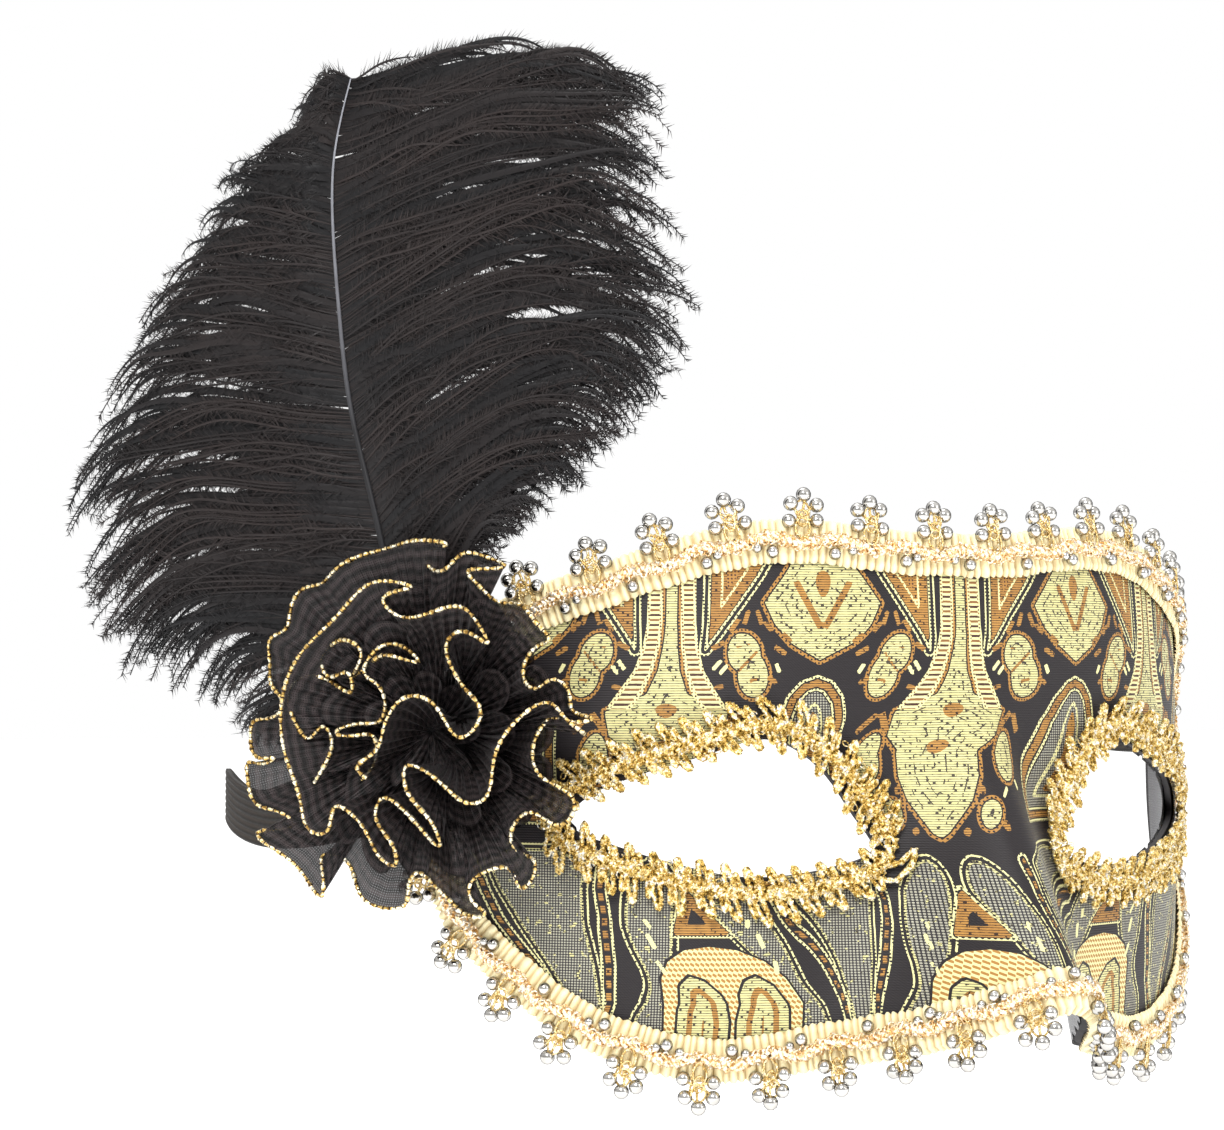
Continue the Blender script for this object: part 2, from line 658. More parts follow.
def organza_finish(name, low, high, openness):
    """Sheer organza: fine crossing threads that let a little light through."""
    cloth = Finish(name, sheen=0.08, sheen_roughness=0.3, specular=0.25)
    along, across = cloth.uv()
    m = cloth.math
    threads = m("MAXIMUM", cloth.wave(along, 0.42), cloth.wave(across, 0.42))
    cloud = cloth.noise(120.0, 3.0)
    shine = cloth.wave(m("MULTIPLY_ADD", cloud, 3.0, across), 1.9)
    colour = cloth.mix(m("MULTIPLY", m("MULTIPLY", threads, shine), 0.7), low, high)
    cloth.rough(m("MULTIPLY_ADD", cloud, 0.2, 0.33))
    cloth.set(cloth.shader.inputs["Alpha"], m("MULTIPLY_ADD", threads, openness, 0.985 - openness))
    cloth.bump(threads, 0.00012, 0.6)
    return cloth.colour(colour)


def beaded_cord_finish():
    """Gold edging thread: round gold stitches with dark gaps between them."""
    cord = Finish("edge_gold", metallic=0.7)
    along, _ = cord.uv()
    stitch = cord.wave(along, EDGE_STITCH)
    spots = cord.noise(900.0, 2.0)
    gold = cord.ramp(spots, [(0.34, rgb("8d6a2c")), (0.48, rgb("e2bf72")), (0.6, rgb("fff6d8"))])
    cord.rough(cord.math("MULTIPLY_ADD", spots, 0.2, 0.22))
    cord.bump(stitch, 0.0002, 0.5)
    spotted = cord.math("GREATER_THAN", cord.math("MULTIPLY_ADD", spots, 0.6, stitch), 0.42)
    return cord.colour(cord.mix(spotted, rgb("33230e"), gold))


EDGE_STITCH = 1.15


def feather_finish(name, low, high, gloss):
    """Dyed ostrich barbs, tinted barb by barb."""
    barb = Finish(name, sheen=0.05, specular=gloss, anisotropic=0.5)
    tint = barb.field("tint")
    spots = barb.noise(300.0, 3.0)
    barb.rough(barb.math("MULTIPLY_ADD", spots, 0.2, 0.42))
    colour = barb.mix(tint, low, high)
    return barb.colour(barb.mix(barb.math("MULTIPLY", spots, 0.5), colour, rgb("07060a")))


def elastic_finish():
    """Ribbed elastic: knitted rubber rows with fine cross threads."""
    web = Finish("elastic_web", specular=0.25)
    along, across = web.uv()
    knit = web.wave(along, 0.55)
    cloud = web.noise(200.0, 3.0)
    ribs = web.wave(web.math("ADD", across, STRAP_WIDTH / 2), STRAP_WIDTH / STRAP_RIBS)
    web.rough(web.math("MULTIPLY_ADD", cloud, 0.15, 0.6))
    web.bump(web.math("MULTIPLY_ADD", ribs, -1.0, web.math("MULTIPLY", knit, 0.25)), 0.0003, 0.8)
    web_colour = web.mix(cloud, rgb("2a241f"), rgb("3d352e"))
    return web.colour(web.mix(web.math("MULTIPLY", ribs, 0.8), web_colour, rgb("0b0908")))


BROCADE = brocade_finish()
SHELL = shell_finish()
LINING = lining_finish()
GIMP = gimp_finish()
GILT = thread_finish("gilt_cord", ("b9823f", "efc98c", "fff3dd", "fffdf8"), 0.55, metallic=0.7,
                     roughness=0.3, noise=1500.0)
GOLD = thread_finish("gold_braid", ("6e561c", "c29a42", "ebcb78", "fff0c2", "ffffff"), 0.6, metallic=0.6,
                     roughness=0.28, depth=0.0002, noise=1000.0)
WIRE = thread_finish("gold_wire", ("b08a48", "f3d48c", "fff7dc"), 0.5, metallic=0.7, roughness=0.27,
                     noise=1500.0)
SILVER = silver_finish()
ORGANZA = organza_finish("organza", rgb("0a0808"), rgb("4a4040"), 0.16)
EDGE_GOLD = beaded_cord_finish()
FELT = thread_finish("felt", ("060505", "131011"), 0.8, roughness=0.85, noise=400.0)
BARBS = feather_finish("ostrich_barbs", rgb("060507"), rgb("2a211f"), 0.3)
QUILL = feather_finish("rachis_horn", rgb("1a191c"), rgb("a9aab2"), 0.4)
THREAD = thread_finish("binding_thread", ("0b0a0a", "2b2624"), 0.6, roughness=0.6)
ELASTIC = elastic_finish()
STEEL = thread_finish("rivet_steel", ("8c8a86", "d8d6d2"), 2.0, metallic=1.0, roughness=0.3, noise=300.0)

# ---- Brocade, shell and lining -----------------------------------------------------------------

# Where each figure's axis runs on the cloth: (height, distance round the wrap).
LEFT_AXIS = [(-32, -42.4), (-26, -45), (-19, -48.7), (-13, -51), (0, -53.5), (10, -54.5), (20, -54),
             (30, -53), (40, -52.3)]
CENTRE_AXIS = [(-25, -7.5), (-20, -8), (-13, -9), (-4, -9.5), (0, -9), (10, -8.2), (17, -4.1), (22, -2.5),
               (30, -1), (40, -0.6)]
RIGHT_AXIS = [(-32, 30), (-20, 34), (-13, 38), (0, 45), (10, 48), (20, 50), (30, 51)]
REPEAT = 50.0

# Half figures: distance from the axis against height.
VASE = [(0.9, 48), (0.9, 32), (1.2, 28), (1.8, 24), (3.4, 20), (10.4, 17), (9.5, 13), (6.2, 10.5), (6.2, 6),
        (5, 2), (3, -1), (1.2, -3.6), (0, -4.4)]
LADDER_INNER = [(17.6, 6.4), (20, 4.6), (24, 3), (28, 2.1), (32, 1.8), (46, 1.7)]
LADDER_OUTER = [(17.6, 9.8), (20.5, 7.8), (24, 5.6), (28, 4.4), (32, 3.9), (46, 3.7)]


def level_curve(table, z):
    """A value read off a table of (height, value) points."""
    heights, values = zip(*table)
    return np.interp(z, heights, values)


def cloth_place(s, z):
    """Where a point of the cloth lies in the repeat: distance from the nearest vase axis."""
    stretch = np.interp(z, [-15, 10], [1.6, 1.0])
    left = -REPEAT + s - level_curve(LEFT_AXIS, z)
    centre = (s - level_curve(CENTRE_AXIS, z)) * stretch
    right = REPEAT + s - level_curve(RIGHT_AXIS, z)
    to_centre = np.clip((s + 32) / 12, 0, 1)
    to_right = np.clip((s - 10) / 12, 0, 1)
    place = left * (1 - to_centre) + centre * to_centre * (1 - to_right) + right * to_right
    return np.abs((place + REPEAT / 2) % REPEAT - REPEAT / 2)


def mirrored(half, axis=0.0):
    """A closed figure from its right half, listed from top to bottom."""
    half = [(axis + (x - axis), z) for x, z in half]
    return np.array(half + [(2 * axis - x, z) for x, z in reversed(half) if abs(x - axis) > 1e-6])


def leaf(x, z, width, height, lean=0.0, power=1.0):
    """A pointed leaf round (x, z), leaning by an angle."""
    t = np.linspace(0, 2 * pi, 28, endpoint=False)
    across = width / 2 * np.sin(t) * (1 - 0.25 * power * np.cos(t))
    upward = height / 2 * -np.cos(t)
    return np.stack([x + across * cos(lean) - upward * sin(lean),
                     z + across * sin(lean) + upward * cos(lean)], axis=1)


def dash(x, z, length, width, lean):
    """A short woven dash."""
    dx, dz = length / 2 * cos(lean), length / 2 * sin(lean)
    nx, nz = -width / 2 * sin(lean), width / 2 * cos(lean)
    return np.array([(x - dx - nx, z - dz - nz), (x + dx - nx, z + dz - nz), (x + dx + nx, z + dz + nz),
                     (x - dx + nx, z - dz + nz)])


def woven_fields(s, z):
    """The distance fields that the brocade's figures are cut from."""
    p = cloth_place(s, z)
    half = REPEAT / 2

    def union(shapes):
        return np.minimum.reduce([signed_distance(p, z, shape) for shape in shapes])

    diamond = [(half + 0.001, 50), (22, 46), (20, 41.5), (15.7, 35.5), (17.5, 31.8), (20.5, 28.6),
               (half + 0.001, 25.8)]
    diamond = [(x, y) for x, y in diamond] + [(2 * half - x, y) for x, y in reversed(diamond[1:-1])]
    cream = union([
        mirrored(VASE), np.array(diamond), leaf(12.4, 27.1, 5.4, 6.6, 0.35, -0.4),
        leaf(14.2, 23.3, 5.0, 7.6, 0.2, -0.2),
        leaf(12.0, 9.2, 4.8, 8.4, 0.1, -0.6), leaf(7.9, -0.4, 3.4, 4.8, -0.2, 0.4),
    ])
    veins = [dash(13.2, 25.6, 4.8, 0.5, 0.85), dash(14.4, 22.4, 1.8, 0.6, 0.3),
             dash(12.2, 28.2, 2.6, 0.35, 0.2)]
    chevron = [dash(half - 2.2, 35.2, 8.8, 1.0, 2.02), dash(half + 2.2, 35.2, 8.8, 1.0, pi - 2.02)]
    crown = [
        dash(10.6, 31.6, 2.6, 0.8, 1.0), dash(12.6, 33.0, 2.6, 0.8, 1.3), dash(14.8, 33.0, 2.6, 0.8, 1.9),
        dash(16.4, 31.4, 2.2, 0.8, 2.3), dash(8.0, 28.2, 2.4, 0.9, 0.5), dash(18.6, 27.4, 2.4, 0.9, 2.6),
        dash(19.6, 29.6, 2.2, 0.8, 2.4), dash(8.6, 21.2, 1.8, 0.8, 0.2), dash(17.6, 22.4, 2.0, 0.8, 2.6),
    ]
    small = [
        leaf(0, 17.2, 3.6, 2.4, 0, 0.9), leaf(0, 11, 3.2, 2.4, 0, 0.9), leaf(half, 38.7, 2.2, 4.6),
        dash(11.4, 15.2, 4.2, 1.1, 0.9), dash(14.6, 15.0, 4.0, 1.1, 2.2), leaf(4.0, -3.4, 1.2, 1.6),
        leaf(10.6, -2.4, 1.3, 2.2, 0.6), leaf(6.6, 3.6, 1.2, 1.8, 0.3), leaf(half, 8.6, 1.8, 2.4),
    ]
    copper = union(veins + chevron + crown + small)
    flecks = union([
        dash(8.0, 24.9, 2.2, 0.7, 0.9), dash(9.2, 24.2, 2.0, 0.7, 0.9), dash(18.4, 24.4, 1.8, 0.7, 2.0),
        dash(9.2, -21.5, 2.6, 0.9, 1.5), dash(9.6, -26, 2.6, 0.8, 1.3), dash(8.4, -18.6, 1.8, 0.8, 1.2),
        dash(11.0, 3.2, 2.0, 0.7, 1.0), dash(15.2, 4.4, 2.0, 0.7, 2.1),
    ])
    petal_leaf = union([np.array([(5.9, 27.5), (6.2, 32), (6.5, 50), (19.5, 50), (17.6, 45), (14.5, 40),
                                  (9, 32)])])
    arch = union([np.array([
        (half + 0.01, 23.2), (22.5, 22.2), (20.3, 19.6), (18.9, 15.5), (18.8, 10), (19.2, 3), (19.8, -2),
        (30.2, -2), (30.8, 3), (31.2, 10), (31.1, 15.5), (29.7, 19.6), (27.5, 22.2),
    ])])
    mesh_leaf = smooth_curve([
        (3.6, -8.3), (6.2, -9.6), (10.6, -15.5), (12.4, -23), (12.6, -29), (16.4, -36), (15.0, -41),
        (11.4, -35.5), (9.4, -28), (6.2, -22), (3.6, -16.4), (2.0, -11),
    ], 60, closed=True)
    beyond = np.array([(16.4, -8.6), (21, -6.5), (34, -6.5), (33.6, -8.6), (30.6, -18), (28.4, -27),
                       (25, -42), (21.6, -27), (19.4, -18)])
    mesh = union([mesh_leaf, beyond])
    stripe = line_distance(p, z, [(12.6, -8), (14.2, -12), (15.4, -18), (18.2, -25), (20.6, -31),
                                  (23.4, -40)])
    triangle = union([np.array([(0, -12.2), (5.1, -20.6), (-5.1, -20.6)])])
    dome = union([mirrored([(0, -22), (4.5, -22.6), (8.4, -24.6), (10.8, -27.6), (12, -32), (11.6, -46)])])
    petal = [(1.0, -46), (0.7, -35), (1.6, -30.6), (3.4, -28.2), (5.6, -27.4), (7.8, -29), (9.2, -33),
             (9.5, -46)]
    petals = union([np.array(petal), np.array([(-x, y) for x, y in petal])])
    inner, outer = level_curve(LADDER_INNER, z), level_curve(LADDER_OUTER, z)
    ladder = np.where(z > 17.4, (p - inner) / (outer - inner), 9.0)
    return {
        "cream": cream, "copper": copper, "dash": flecks, "petal_leaf": petal_leaf, "arch": arch,
        "mesh": mesh,
        "stripe": stripe, "triangle": triangle, "dome": dome, "petals": petals, "ladder": ladder,
    }


outline_xz = smooth_curve(OUTLINE_HALF + [(-x, z) for x, z in reversed(OUTLINE_HALF[1:-1])], 400, closed=True)
eye_xz = {k: smooth_curve([(k * x, z) for x, z in EYE_OUTLINE], 160, closed=True) for k in (-1, 1)}


def face_sheet(step):
    """Grid over the unrolled face, trimmed to the outline and the eyes.
    Returns distance round the wrap, height, and the grid's quads."""
    edge = np.stack([wrap_length(outline_xz[:, 0]), outline_xz[:, 1]], axis=1)
    holes = [np.stack([wrap_length(eye[:, 0]), eye[:, 1]], axis=1) for eye in eye_xz.values()]
    reach = edge[:, 0].max() + 2 * step
    s, z = np.meshgrid(np.arange(-reach, reach, step), np.arange(-47, 51, step), indexing="ij")

    def room(s, z):
        return np.maximum.reduce([signed_distance(s, z, edge)]
                                 + [-signed_distance(s, z, hole) for hole in holes])

    outside = room(s, z)
    quads = grid_faces(*s.shape)
    quads = quads[(outside.ravel()[quads] < 0.6 * step).all(axis=1)]
    used, quads = np.unique(quads, return_inverse=True)
    s, z, outside = s.ravel()[used], z.ravel()[used], outside.ravel()[used]
    near = outside > -0.5 * step
    for _ in range(2):
        here = room(s[near], z[near])
        slope_s = (room(s[near] + 0.05, z[near]) - here) / 0.05
        slope_z = (room(s[near], z[near] + 0.05) - here) / 0.05
        size = slope_s**2 + slope_z**2 + 1e-6
        s[near] -= here * slope_s / size
        z[near] -= here * slope_z / size
    return s, z, quads.reshape(-1, 4)


s, z, quads = face_sheet(0.5)
brocade = mesh_piece(
    "brocade", lifted(wrap_x(s), z, COVER_THICKNESS), quads, BROCADE, slot="brocade",
    replaces=("brocade_cover",), uv=np.stack([s, z], axis=1), floats=woven_fields(s, z),
)

s, z, quads = face_sheet(1.6)
lining = mesh_piece(
    "lining", lifted(wrap_x(s), z, -SHELL_THICKNESS - LINING_THICKNESS), quads[:, ::-1], LINING,
    slot="lining", replaces=("inner_lining",), uv=np.stack([s, z], axis=1),
)


# ---- Edge trims ------------------------------------------------------------------------------------


class Edge:
    """A closed line on the face. at(along, inward, lift) gives points beside it."""

    def __init__(self, xz, count):
        path = np.stack([xz[:, 0], face_depth(xz[:, 0], xz[:, 1]), xz[:, 1]], axis=1)
        self.path = evenly(np.vstack([path, path[:1]]), count, closed=True)
        self.length = curve_length(self.path, closed=True)
        normals = face_normals(self.path[:, 0], self.path[:, 2])
        across = path_frames(self.path, True, normals)[2]
        middle = self.path.mean(axis=0)
        pointing = ((middle - self.path) * across).sum() > 0
        self.inward = across if pointing else -across

    def at(self, along, inward, lift):
        place = np.asarray(along) / self.length * len(self.path)
        low = np.floor(place).astype(int)
        share = (place - low)[..., None]
        a, b = low % len(self.path), (low + 1) % len(self.path)
        point = self.path[a] * (1 - share) + self.path[b] * share
        way = self.inward[a] * (1 - share) + self.inward[b] * share
        way /= np.linalg.norm(way, axis=-1, keepdims=True)
        return dropped(point + way * np.asarray(inward)[..., None], lift)


edge = Edge(outline_xz, 1600)
RIB_PITCH = edge.length / round(edge.length / 1.45)
CLUSTERS = round(edge.length / CLUSTER_PITCH)
cluster_pitch = edge.length / CLUSTERS
rosette_centre = side(ROSETTE_SHIFT, 0, 0)
SPLIT_HEIGHT = 2.0


def gimp_strip():
    """The woven band: rounded cross ribs, a scalloped inner edge and a tucked outer edge."""
    along = np.arange(0, edge.length, RIB_PITCH / 7)
    along = along[: 7 * round(len(along) / 7)]
    share = np.linspace(0, 1, 15)[None, :]
    phase = along + 0.22 * np.sin(along * 0.83) + 0.15 * np.sin(along * 2.1)
    rib = np.abs(np.cos(pi * phase / RIB_PITCH))[:, None]
    wander = 0.25 * np.sin(along * 0.21)[:, None] + 0.2 * np.sin(along * 0.57 + 1)[:, None]
    inner = BRAID_WIDTH - BRAID_PROUD + 0.45 * rib + wander * 0.6
    outer = -BRAID_PROUD + 0.2 - 0.5 * rib + wander * 0.4
    inward = outer + (inner - outer) * share
    crown = np.sin(pi * np.clip(share, 0.04, 0.96)) ** 0.35
    seam = 0.5 * np.exp(-(((share - 0.9) / 0.06) ** 2)) + 0.3 * np.exp(-(((share - 0.07) / 0.05) ** 2))
    height = 1 + 0.22 * np.sin(along * 1.9)[:, None] * np.sin(along * 0.37)[:, None]
    lift = COVER_THICKNESS + 0.05 + crown * (0.35 + 0.95 * height * rib**0.6) + seam * rib**0.5
    lift = lift - 1.6 * (share < 0.01)
    points = edge.at(np.broadcast_to(along[:, None], inward.shape), inward, lift)
    uv = np.stack(np.broadcast_arrays(along[:, None], inward), axis=-1)
    groove = np.broadcast_to(np.clip((1 - rib**0.5) * 1.25, 0, 1) + 0.2 * (share > 0.97), inward.shape)
    return points, uv, groove


def halves(points, uv, groove):
    """Splits the strip into its upper and its lower piece."""
    rows, columns = points.shape[:2]
    quads = grid_faces(rows, columns, wrap_rows=True)
    row_height = points[:, columns // 2, 2]
    upper = row_height[quads[:, 0] // columns] > SPLIT_HEIGHT
    for name, keep in (("upper", upper), ("lower", ~upper)):
        used, faces = np.unique(quads[keep], return_inverse=True)
        mesh_piece(
            f"gimp_braid_{name}", points.reshape(-1, 3)[used], faces.reshape(-1, 4), GIMP, slot="gimp",
            replaces=(f"edge_braid_{name}",), uv=uv.reshape(-1, 2)[used],
            floats={"groove": groove.ravel()[used]},
        )


halves(*gimp_strip())

# The metallic cord: a loose garland that swings between the clusters.
cords = {"upper": Gather(), "lower": Gather()}
clusters_by_half = {"upper": Gather(), "lower": Gather()}
wires = {"upper": Gather(), "lower": Gather()}
ball_points, ball_quads, ball_triangles = ball()


def half_at(along):
    height = edge.at(np.array([along]), np.array([2.0]), np.array([1.0]))[0][2]
    return "upper" if height > SPLIT_HEIGHT else "lower"


def add_ball(gather, centre, radius):
    gather.add(centre + ball_points * radius, ball_quads, ball_triangles)


def garland(start):
    """One cluster's stretch of cord: a twisted cord and small loose loops round it."""
    half = half_at(start + cluster_pitch / 2)
    along = np.linspace(start, start + cluster_pitch, 60)
    swing = np.cos(2 * pi * (along - start) / cluster_pitch)
    inward = 2.7 + 0.55 * swing + 0.15 * np.sin(along * 3.1)
    path = edge.at(along, inward, 2.2 + 0.25 * np.sin(along * 1.7))
    up = face_normals(path[:, 0], path[:, 2])
    add_twist(cords[half], path, False, 3, 0.66, 0.5, 2.8, up)
    loop = np.linspace(start, start + cluster_pitch, 200)
    turn = 2 * pi * (loop - start) / 0.95 + start
    size = 1.15 + 0.35 * np.sin(loop * 2.3)
    middle = 2.7 + 0.55 * np.cos(2 * pi * (loop - start) / cluster_pitch)
    curl = edge.at(loop + 0.5 * np.sin(turn), middle + size * np.cos(turn), 2.5 + 0.55 * np.sin(turn + 0.8))
    add_tube(cords[half], curl, 0.2, 4)


def cluster(along):
    """Five beads on a gold wire stem beyond the edge, and small beads on the inner side."""
    half = half_at(along)
    tilt = random.uniform(-0.25, 0.25)
    beads, wire = clusters_by_half[half], wires[half]
    spots = [(0.0, -6.1, 1.04), (-2.1, -4.6, 1.02), (2.1, -4.8, 1.02), (-2.3, -1.9, 0.98), (2.4, -1.7, 0.98)]
    for aside, reach, size in spots:
        jog = random.uniform(-0.22, 0.22, 3)
        centre = edge.at(np.array([along + aside + tilt * reach * 0.3 + jog[0]]),
                         np.array([reach + 1.1 + jog[1]]),
                         np.array([2.2 + jog[2]]))[0]
        add_ball(beads, centre, BEAD_RADIUS * size)
        hub = edge.at(np.array([along + tilt]), np.array([-1.6]), np.array([2.2]))[0]
        bend = (centre + hub) / 2 + random.uniform(-0.35, 0.35, 3)
        add_tube(wire, smooth_curve([hub, bend, centre], 7), 0.26, 5)
    turn = np.linspace(0, 9 * pi, 90)
    size = 1.0 + 0.3 * np.sin(turn * 0.37)
    curl = edge.at(along + size * np.cos(turn), -3.0 + size * 1.5 * np.sin(turn) + 0.16 * turn,
                   2.5 + 0.5 * np.cos(turn * 0.5))
    add_tube(wire, curl, 0.2, 4)
    for k in range(3):
        aside = cluster_pitch / 2 + (k - 1) * 2.3 + random.uniform(-0.5, 0.5)
        if k != 1 and random.uniform() < 0.45:
            continue
        centre = edge.at(np.array([along + aside]), np.array([4.7 - 0.8 * abs(k - 1)]), np.array([2.5]))[0]
        add_ball(beads, centre, BEAD_RADIUS * (0.86 if k == 1 else 0.66))


for i in range(CLUSTERS):
    along = (i + 0.5) * cluster_pitch
    spot = edge.at(np.array([along]), np.array([0.0]), np.array([0.0]))[0]
    garland(along)
    if np.linalg.norm(spot - rosette_centre) > 13:
        cluster(along)
for half in ("upper", "lower"):
    cords[half].piece(f"metal_garland_{half}", GILT, slot="gilt_cord", replaces=(f"edge_cord_{half}",))
    clusters_by_half[half].piece(f"silver_beads_{half}", SILVER, slot="silver_bead",
                                 replaces=(f"bead_clusters_{half}",))
    wires[half].piece(f"bead_wire_{half}", WIRE, slot="gilt_cord")


# ---- Gold eye braid ----------------------------------------------------------------------------------


def hairpin(eye, foot, tip, width, rise):
    """A loop of thread from foot to tip and back, each (along, inward), on an eye's edge."""
    turn = np.linspace(0, pi, 15)
    foot, tip = np.array(foot), np.array(tip)
    way = tip - foot
    aside = np.array([-way[1], way[0]]) / np.linalg.norm(way)
    flat = foot + way * np.sin(turn)[:, None] + aside * (width / 2 * np.cos(turn))[:, None]
    return eye.at(flat[:, 0], flat[:, 1], 1.5 + rise * np.sin(turn))


def eye_braid(name, k):
    """A plaited gold cord with slanting bullion loops that stand out on both sides of it."""
    eye = Edge(eye_xz[k], 700)
    braid = Gather()
    count = round(eye.length / 4.1)
    pitch = eye.length / count
    middle = 0.4 - EYE_BRAID_WIDTH / 2
    along = np.linspace(0, eye.length, int(eye.length / 0.3), endpoint=False)
    for phase in (0, 0.5):
        turn = 2 * pi * (along / pitch * 2 + phase)
        path = eye.at(along, middle + 0.85 * np.cos(turn), 1.7 + 0.45 * np.sin(turn))
        add_twist(braid, path, True, 3, 0.44, 0.4, 2.2)
    draw = np.random.default_rng(21 + k)
    for i in range(count):
        start = (i + 0.5) * pitch
        for hand, reach in ((-1, 4.7), (1, 4.0)):
            length = reach * draw.uniform(0.86, 1.12)
            slant = draw.uniform(1.4, 2.2)
            foot = (start - hand * 0.5, middle - hand * 0.5)
            tip = (start + hand * slant, middle + hand * length)
            path = hairpin(eye, foot, tip, draw.uniform(1.2, 1.5), draw.uniform(0.3, 1.0))
            add_twist(braid, path, False, 3, 0.3, 0.36, 2.0)
            small = (start + hand * (slant - 2.1), middle + hand * length * 0.72)
            path = hairpin(eye, (start - hand * 1.2, middle), small, 0.8, draw.uniform(0.6, 1.1))
            add_twist(braid, path, False, 3, 0.22, 0.28, 1.6)
    # Fine crimped wire that catches the light.
    for i in range(int(eye.length / 1.1)):
        centre = (i * 1.1 + draw.uniform(-0.4, 0.4), middle + draw.uniform(-3.0, 3.0))
        size = draw.uniform(0.4, 0.8)
        turn = np.linspace(0, 2 * pi * draw.uniform(0.7, 1.3), 9) + draw.uniform(0, 6)
        curl = eye.at(centre[0] + size * np.cos(turn), centre[1] + size * np.sin(turn),
                      2.3 + 0.6 * np.sin(turn + 1))
        add_tube(braid, curl, 0.13, 4)
    braid.piece(f"gold_lace_{name}", GOLD, slot="gold_braid", replaces=(f"eye_braid_{name}",))


eye_braid("left", -1)
eye_braid("right", 1)

# ---- Rosette -----------------------------------------------------------------------------------------

# The ribbons' free edges as points in the side plane (across, up), millimetres.
HEART_EDGE = [
    (-10, -8), (-11.5, -6.5), (-8, -3.5), (-6.5, 0.5), (-3, 5.5), (2, 4.5), (8, -1), (11, 3), (8.5, 6.5),
    (5.5, 10), (4, 15), (6.5, 16.5), (11.5, 14.5), (9.5, 18), (6.5, 20.5), (0, 19.5), (-7, 20), (-8.5, 22),
    (-3, 24), (-7, 25), (-12.5, 24), (-18, 19), (-24, 13), (-27, 7), (-27.5, -4.5), (-24, -12.5), (-22, -17),
    (-18.5, -17), (-17, -13), (-12.5, -15.5), (-8, -22), (-6, -22.5), (-5.5, -20), (-8.5, -14), (-7.5, -11.5),
    (-2.5, -14.5), (2.5, -19), (2, -16), (-2, -10), (-2.5, -6), (2, -7.5), (8.5, -12), (10.5, -11.5),
    (13, -5.5), (16, 1), (22, 4.5), (24, 2.5), (28, -0.5),
]
CURL_EDGE = [
    (-22.5, -9), (-19.5, -5), (-19, -2), (-21.5, 0.5), (-24, -1.5), (-26, 1), (-26, 8), (-22, 9), (-15, 7),
    (-15.5, 9.5), (-19.5, 9), (-21.5, 11), (-19.5, 14.5), (-15.5, 15), (-13.2, 13), (-16, 8.5), (-12, 11.5),
    (-7.5, 12.5), (-2.5, 11.5), (-6, 14), (-11, 13.5), (-12.5, 9.5), (-10, 7.5), (-10.5, 1.5), (-14.5, 1),
    (-18, -0.5), (-15, -1), (-11.5, -1), (-11, -4), (-13.5, -8.5),
]
OUTER_EDGE = [
    (20.5, 15), (18.5, 18), (15, 21), (10.5, 21.5), (7, 24.5), (5.5, 26.5), (8.5, 27), (12, 27.5),
    (9, 28.8), (4, 29.5), (1, 27), (-2.5, 27.5), (-4, 29.5), (-2, 30.5), (1, 31.3), (-3, 32),
    (-8.5, 31.5), (-13, 30.5), (-20.5, 27.5), (-24.5, 25), (-28.5, 24), (-30, 21), (-30.5, 17.5),
    (-34.5, 15.5), (-35, 11.5), (-34, 7.5), (-31, 4.5), (-34, 2), (-38.5, 1), (-38.5, -2), (-36, -5),
    (-33, -5), (-36, -6), (-39.5, -6), (-39, -9), (-36.5, -13), (-32, -14.5), (-30, -16), (-36.5, -18),
    (-32.5, -21), (-27, -26), (-23.5, -28.5), (-23, -25), (-23.5, -21.5), (-21, -21.5), (-17.5, -24.5),
    (-15, -28.5), (-12, -30), (-7.5, -29.5), (-6.5, -26), (-4.5, -24), (-0.5, -26.5), (2, -29), (5, -31),
    (8.5, -30.5), (6.5, -28.5), (6, -25.5), (8.5, -23.5), (13.5, -23.5), (15.5, -26), (17.8, -24.5),
    (18, -21.5), (14.5, -20), (13, -18), (14.5, -15), (18, -13.5), (22.5, -15.5), (25, -12), (23, -9.5),
    (19.5, -7.5), (17.5, -4), (18, -0.5), (20.5, 2), (26, 1.5), (29, 2), (24.5, 3.5), (24, 6.5),
    (21.5, 8.5), (18.5, 7), (16, 8.5), (16, 12), (18.5, 14.2),
]
ROSETTE_MIDDLE = np.array([-3.5, 0.0])
PLEAT_PITCH = 2.2
RING_POINTS = 900
EDGE_CORD_STEP = 0.29


def pleats(body, closed):
    """Fine pleats that keep the cloth's length in each row, where gathering has drawn the row short.
    A wave of slope k is longer than its base by a factor of about sqrt(1 + k * k / 2)."""
    after = np.roll(body, -1, axis=0) if closed else np.concatenate([body[1:], body[-1:] * 2 - body[-2:-1]])
    step = np.linalg.norm(after - body, axis=-1)
    edge = step[:, -1:]
    fullness = np.clip(edge / np.maximum(step, 1e-3), 1.0, 6.0)
    slope = np.sqrt(2 * (fullness**2 - 1))
    distance = np.cumsum(edge) - edge[0, 0]
    turns = round(distance[-1] / PLEAT_PITCH)
    phase = (2 * pi * turns * distance / distance[-1])[:, None]
    normal = np.cross(after - body, np.gradient(body, axis=1))
    normal /= np.linalg.norm(normal, axis=-1, keepdims=True) + 1e-9
    return normal * (slope * PLEAT_PITCH / (2 * pi * fullness) * np.sin(phase))[..., None]


